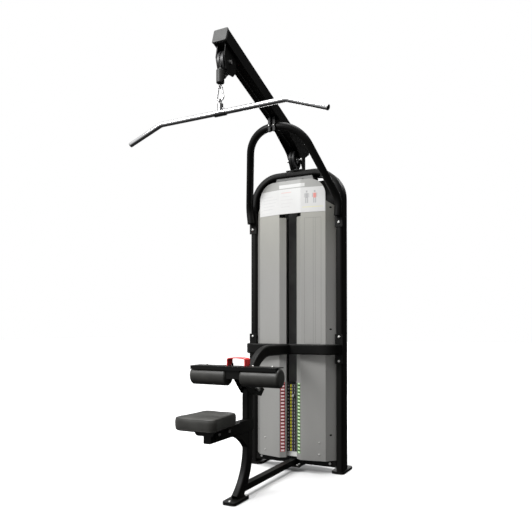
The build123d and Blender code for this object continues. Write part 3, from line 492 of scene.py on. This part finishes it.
def inflate(piece, voxel, pressure, cap, calm, limit):
    """Remeshes a closed form and fills it like a cushion. Every point stays within cap of its start, and
    calm passes even the swelling out, as firm foam does."""
    remesh = piece.modifiers.new("remesh", "REMESH")
    remesh.mode = "VOXEL"
    remesh.voxel_size = voxel
    remesh.use_smooth_shade = True
    graph = bpy.context.evaluated_depsgraph_get()
    fine = bpy.data.meshes.new_from_object(piece.evaluated_get(graph))
    piece.modifiers.clear()
    old, piece.data = piece.data, fine
    bpy.data.meshes.remove(old)
    start = [v.co.copy() for v in piece.data.vertices]
    cloth = piece.modifiers.new("fill", "CLOTH")
    cloth.settings.use_pressure = True
    cloth.settings.uniform_pressure_force = pressure
    cloth.settings.effector_weights.gravity = 0
    cloth.settings.quality = 6
    scene = bpy.context.scene
    for step in range(1, 21):
        scene.frame_set(step)
    graph = bpy.context.evaluated_depsgraph_get()
    swollen = bpy.data.meshes.new_from_object(piece.evaluated_get(graph))
    piece.modifiers.clear()
    scene.frame_set(1)
    swell = []
    for first, moved in zip(start, swollen.vertices):
        shift = moved.co - first
        swell.append(shift.normalized() * min(shift.length, cap))
    bpy.data.meshes.remove(swollen)
    beside = [[] for _ in start]
    for edge in piece.data.edges:
        a, b = edge.vertices
        beside[a].append(b)
        beside[b].append(a)
    for _ in range(calm):
        swell = [(own + sum((swell[n] for n in near), Vector()) / len(near)) / 2
                 for own, near in zip(swell, beside)]
    for vertex, first, shift in zip(piece.data.vertices, start, swell):
        vertex.co = first + shift
    for vertex in piece.data.vertices:
        vertex.co = limit(vertex.co)
    for face in piece.data.polygons:
        face.use_smooth = True
    finer = piece.modifiers.new("finer", "SUBSURF")
    finer.levels = 1
    finer.render_levels = 1


def welt(name, path, radius, surface, lift, body):
    """A sewn welt that lies on a soft piece."""
    tree = BVHTree.FromPolygons([v.co for v in surface.data.vertices],
                                [tuple(f.vertices) for f in surface.data.polygons])
    laid = []
    for point in path:
        spot, normal, _, _ = tree.find_nearest(Vector(point))
        laid.append(spot + normal * lift)
    verts, faces = tube(laid, radius, 8, closed=True)
    new_piece(name, verts, faces, PAD, body)


# ------------------------------------------------------------------ thigh rolls
def soft_roll(name, side):
    low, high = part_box("thigh_rolls")
    centre_y, centre_z = (low.y + high.y) / 2, low.z + (high.z - low.z) / 2
    room = 0.0035                     # left for the foam to swell into
    radius = (high.z - low.z) / 2 - room
    flat, flat_end = 0.7025, 0.2555   # the top is held to this height, out to here
    x_in, x_out = 0.0415, high.x - 0.0015
    sides, turn = 72, 0.012
    hub = (radius - turn) * 0.5
    angles = [math.pi / 2 * i / 7 for i in range(8)]
    rounding = [(turn * (1 - math.sin(a)), radius - turn * (1 - math.cos(a))) for a in angles]
    profile = [(x_in, hub)] + [(x_in + x, r) for x, r in reversed(rounding)]
    profile += [(x_in + turn + (x_out - x_in - 2 * turn) * i / 36, radius) for i in range(1, 36)]
    profile += [(x_out - x, r) for x, r in rounding] + [(x_out, hub)]
    verts = []
    for x, r in profile:
        for k in range(sides):
            angle = 2 * math.pi * k / sides
            verts.append((side * x, centre_y + r * math.cos(angle), centre_z + r * math.sin(angle)))
    piece = new_piece(name, verts, ring_faces(len(profile), sides), PAD)

    def limit(co):
        x = abs(co.x)
        if x < flat_end:
            co.z = min(co.z, flat)
        reach = Vector((co.y - centre_y, co.z - centre_z))
        if reach.length > radius + room:
            reach = reach.normalized() * (radius + room)
            co.y, co.z = centre_y + reach.x, centre_z + reach.y
        co.x = math.copysign(min(max(x, 0.0405), high.x - 0.0002), side)
        return co

    inflate(piece, 0.005, 4.0, 0.006, 10, limit)
    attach(piece, "pad_carriage")
    for tag, x in (("in", x_in + 0.007), ("out", x_out - 0.007)):
        ring, reach, count = [], radius + 0.004, 120
        for k in range(count):
            angle = 2 * math.pi * k / count
            ring.append((side * x, centre_y + reach * math.cos(angle), centre_z + reach * math.sin(angle)))
        welt(f"{name}_welt_{tag}", ring, 0.0011, piece, -0.0001, "pad_carriage")
    return piece


left_roll = soft_roll("thigh_roll_left", -1)
right_roll = soft_roll("thigh_roll_right", 1)
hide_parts("thigh_rolls")
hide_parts("thigh_rolls")


# ------------------------------------------------------------------ seat cushion
def outline(front_w, rear_w, y_front, y_rear, radius, inset, steps=12):
    """A rounded trapezoid, inset from its outer size, as plan points."""
    front, rear = front_w / 2 - inset, rear_w / 2 - inset
    y0, y1 = y_front + inset, y_rear - inset
    corners = [(front, y0), (rear, y1), (-rear, y1), (-front, y0)]
    points = []
    for i, corner in enumerate(corners):
        here = Vector(corner)
        a = (Vector(corners[i - 1]) - here).normalized()
        b = (Vector(corners[(i + 1) % 4]) - here).normalized()
        half = a.angle(b) / 2
        reach = radius / math.tan(half)
        centre = here + (a + b).normalized() * (radius / math.sin(half))
        start, end = here + a * reach - centre, here + b * reach - centre
        total = start.angle_signed(end)
        for k in range(steps + 1):
            turn = total * k / steps
            c, s = math.cos(-turn), math.sin(-turn)
            points.append((centre.x + start.x * c - start.y * s, centre.y + start.x * s + start.y * c))
    return points


def soft_seat():
    low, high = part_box("seat_cushion")
    depth = high.y - low.y
    # the skin wraps the edge of the base plate and stands a little proud of the foam's plain form
    plan = (0.238, 0.192, low.y - 0.006, high.y + 0.005, 0.036)
    layers = [(-0.0065, 0.0135), (-0.0065, 0.006), (-0.002, 0.0022), (0.012, 0.0005), (0.034, 0.0),
              (0.046, 0.0012), (0.0515, 0.0055), (0.0535, 0.012), (0.054, 0.022)]
    verts = [(x, y, low.z + 0.0003 + rise) for rise, inset in layers for x, y in outline(*plan, inset)]
    piece = new_piece("seat_pad", verts, ring_faces(len(layers), len(verts) // len(layers)), PAD)

    def limit(co):
        co.z = max(co.z, low.z - 0.007)
        co.z = min(co.z, high.z + 0.003)
        # a shallow dish where the user sits
        along = (co.y - low.y) / depth
        if co.z > high.z - 0.012:
            dish = math.exp(-(co.x / 0.07) ** 2) * math.exp(-((along - 0.55) / 0.3) ** 2)
            co.z -= 0.0035 * dish
        co.y = min(max(co.y, plan[2] - 0.002), plan[3] + 0.002)
        return co

    inflate(piece, 0.005, 4.0, 0.005, 40, limit)
    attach(piece, "frame")
    top = [(x, y, high.z - 0.001) for x, y in outline(*plan, 0.002, 16)]
    dense = []
    for i, point in enumerate(top):
        after = Vector(top[(i + 1) % len(top)])
        steps = max(1, int((after - Vector(point)).length / 0.005))
        dense += [Vector(point).lerp(after, k / steps) for k in range(steps)]
    welt("seat_top_welt", dense, 0.0014, piece, 0.0002, "frame")
    lower = [(p.x, p.y, low.z - 0.002) for p in dense]
    welt("seat_base_welt", lower, 0.0012, piece, 0.0, "frame")
    return piece


seat = soft_seat()
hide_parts("seat_cushion")


# ------------------------------------------------------------------ cable spans
def cable_span(name, node):
    low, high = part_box(node)
    x, y = (low.x + high.x) / 2, (low.y + high.y) / 2
    steps = max(8, int((high.z - low.z) / 0.012))
    points = [(x, y, low.z + (high.z - low.z) * i / steps) for i in range(steps + 1)]
    verts, faces = tube(points, (high.x - low.x) / 2, 14)
    piece = new_piece(name, verts, faces, "cable_black")
    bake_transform(piece)
    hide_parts(node)
    return piece


cable_span("front_cable_span", "cable_front_drop")
cable_span("stack_cable_span", "cable_stack_drop")


# ------------------------------------------------------------------ studio
def floor():
    bpy.ops.mesh.primitive_plane_add(size=60, location=(0, 0, 0))
    ground = bpy.context.object
    ground.name = "studio_floor"
    look = Look("studio_floor", (0.86, 0.86, 0.86), 0.6, specular=0.2)
    cloud = look.noise(0.7, 3)
    look.colour(look.clouded(cloud, (0.85, 0.85, 0.85), (0.88, 0.88, 0.88)))
    ground.data.materials.append(look.material)
    # it takes shadows, but sends no light back to the object and isn't seen in reflections
    ground.visible_diffuse = False
    ground.visible_glossy = False


def area(name, location, target, size, power):
    lamp = bpy.data.lights.new(name, "AREA")
    lamp.shape = "RECTANGLE"
    lamp.size, lamp.size_y = size
    lamp.energy = power
    holder = bpy.data.objects.new(name, lamp)
    holder.location = location
    holder.rotation_euler = (Vector(target) - Vector(location)).to_track_quat("-Z", "Y").to_euler()
    bpy.context.scene.collection.objects.link(holder)


def overhead(power, spread):
    lamp = bpy.data.lights.new("overhead", "SUN")
    lamp.energy = power
    lamp.angle = math.radians(spread)
    bpy.context.scene.collection.objects.link(bpy.data.objects.new("overhead", lamp))


def wall():
    """Soft light from all round, brightest above and in front of the machine, dim behind it.

    The camera sees plain white there instead, from every side: what is seen isn't what lights the object."""
    world = bpy.data.worlds.new("studio")
    bpy.context.scene.world = world
    world.use_nodes = True
    tree = world.node_tree
    background = tree.nodes["Background"]
    background.inputs["Color"].default_value = (1, 1, 1, 1)
    facing = tree.nodes.new("ShaderNodeVectorMath")
    facing.operation = "DOT_PRODUCT"
    facing.inputs[1].default_value = (-0.36, -0.44, 0.82)
    tree.links.new(tree.nodes.new("ShaderNodeTexCoord").outputs["Generated"], facing.inputs[0])
    grade = tree.nodes.new("ShaderNodeMapRange")
    set_range(grade, -0.2, 0.95, 0.02, 0.85)
    tree.links.new(facing.outputs["Value"], grade.inputs["Value"])
    backdrop = tree.nodes.new("ShaderNodeMix")
    backdrop.inputs[3].default_value = 1.0
    tree.links.new(tree.nodes.new("ShaderNodeLightPath").outputs["Is Camera Ray"], backdrop.inputs[0])
    tree.links.new(grade.outputs[0], backdrop.inputs[2])
    tree.links.new(backdrop.outputs[0], background.inputs["Strength"])


def camera():
    lens = bpy.data.cameras.new("camera")
    lens.lens = 37.64
    lens.sensor_width = 36.0
    lens.shift_y = 0.0996
    lens.clip_start, lens.clip_end = 0.05, 200
    view = bpy.data.objects.new("camera", lens)
    view.location = (1.4713, -2.7963, 0.9137)
    view.rotation_euler = (math.radians(90.8), 0, math.radians(27.1))
    bpy.context.scene.collection.objects.link(view)
    bpy.context.scene.camera = view


floor()
area("key", (-1.7, -3.2, 4.0), (0, 0.4, 1.9), (2.2, 1.4), 185)
area("rear", (-1.2, 5.2, 3.0), (0, 0.4, 1.3), (3.0, 2.0), 90)
overhead(3.5, 50)
wall()
camera()
bpy.context.scene.view_settings.view_transform = "Standard"
